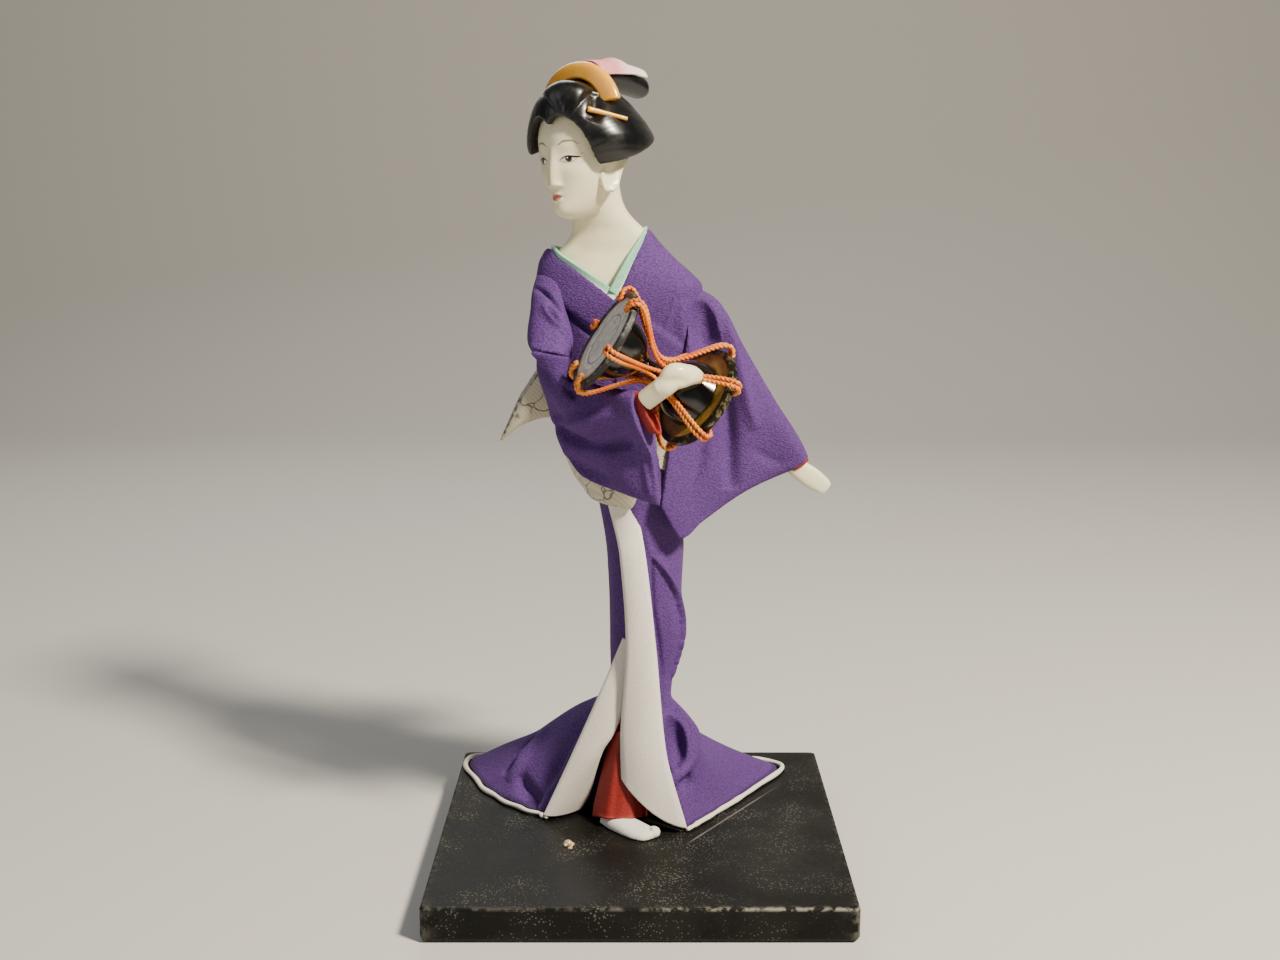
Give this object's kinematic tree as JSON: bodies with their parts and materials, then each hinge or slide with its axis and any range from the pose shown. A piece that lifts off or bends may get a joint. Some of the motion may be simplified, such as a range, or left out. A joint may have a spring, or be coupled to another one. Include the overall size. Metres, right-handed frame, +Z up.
{
  "type": "kabuki dancer figurine",
  "caption": "Cloth-dressed dancing doll with a laced hand drum, in a trailing kimono, standing on a square black lacquered plinth.",
  "frame": {"origin": "middle of the plinth's underside", "axes": "+Z up, the doll's front towards -Y, +X to the right of a viewer in front of it"},
  "size_m": [0.14, 0.14, 0.2783],
  "materials": {
    "black_lacquer": "turned black lacquer on wood, dusty, with worn edges and a long pale scratch",
    "white_cotton": "plain white cotton sock",
    "red_silk": "soft red silk, satin",
    "pale_lining": "pale crepe lining, matt",
    "cream_roll": "cream padded hem roll, finely woven",
    "purple_crepe": "purple crepe with a fine pebbled grain, matt",
    "sash_brocade": "off-white brocade with dark and silvery threads",
    "ivory_paint": "ivory doll paint, glossy",
    "mint_silk": "mint green folded collar with a white edge",
    "gloss_hair": "black moulded hair with combed grooves, glossy",
    "amber": "amber coloured plastic, glossy",
    "pink_crepe": "pink crepe, matt",
    "drum_lacquer": "black lacquer, glossy",
    "drum_skin": "off-white mottled skin on a speckled dark ring",
    "orange_cord": "two-ply twisted orange cord"
  },
  "bodies": {
    "root": {"plinth": "black_lacquer", "foot": "white_cotton", "under_skirt": "red_silk", "right_lining_panel": "pale_lining", "left_lining_panel": "pale_lining", "hem_roll": "cream_roll", "kimono_skirt": "purple_crepe", "sash": "sash_brocade", "sash_knot": "sash_brocade", "kimono_bodice": "purple_crepe", "right_sleeve": "purple_crepe", "left_sleeve": "purple_crepe", "right_cuff": "red_silk", "left_cuff": "red_silk", "right_hand": "ivory_paint", "left_hand": "ivory_paint", "under_collar": "mint_silk", "head": "ivory_paint", "wig": "gloss_hair", "comb": "amber", "hairpin": "amber", "topknot_cloth": "pink_crepe", "drum_shell": "drum_lacquer", "drum_front_head": "drum_skin", "drum_rear_head": "drum_skin", "drum_cords": "orange_cord"}
  },
  "joints": []
}
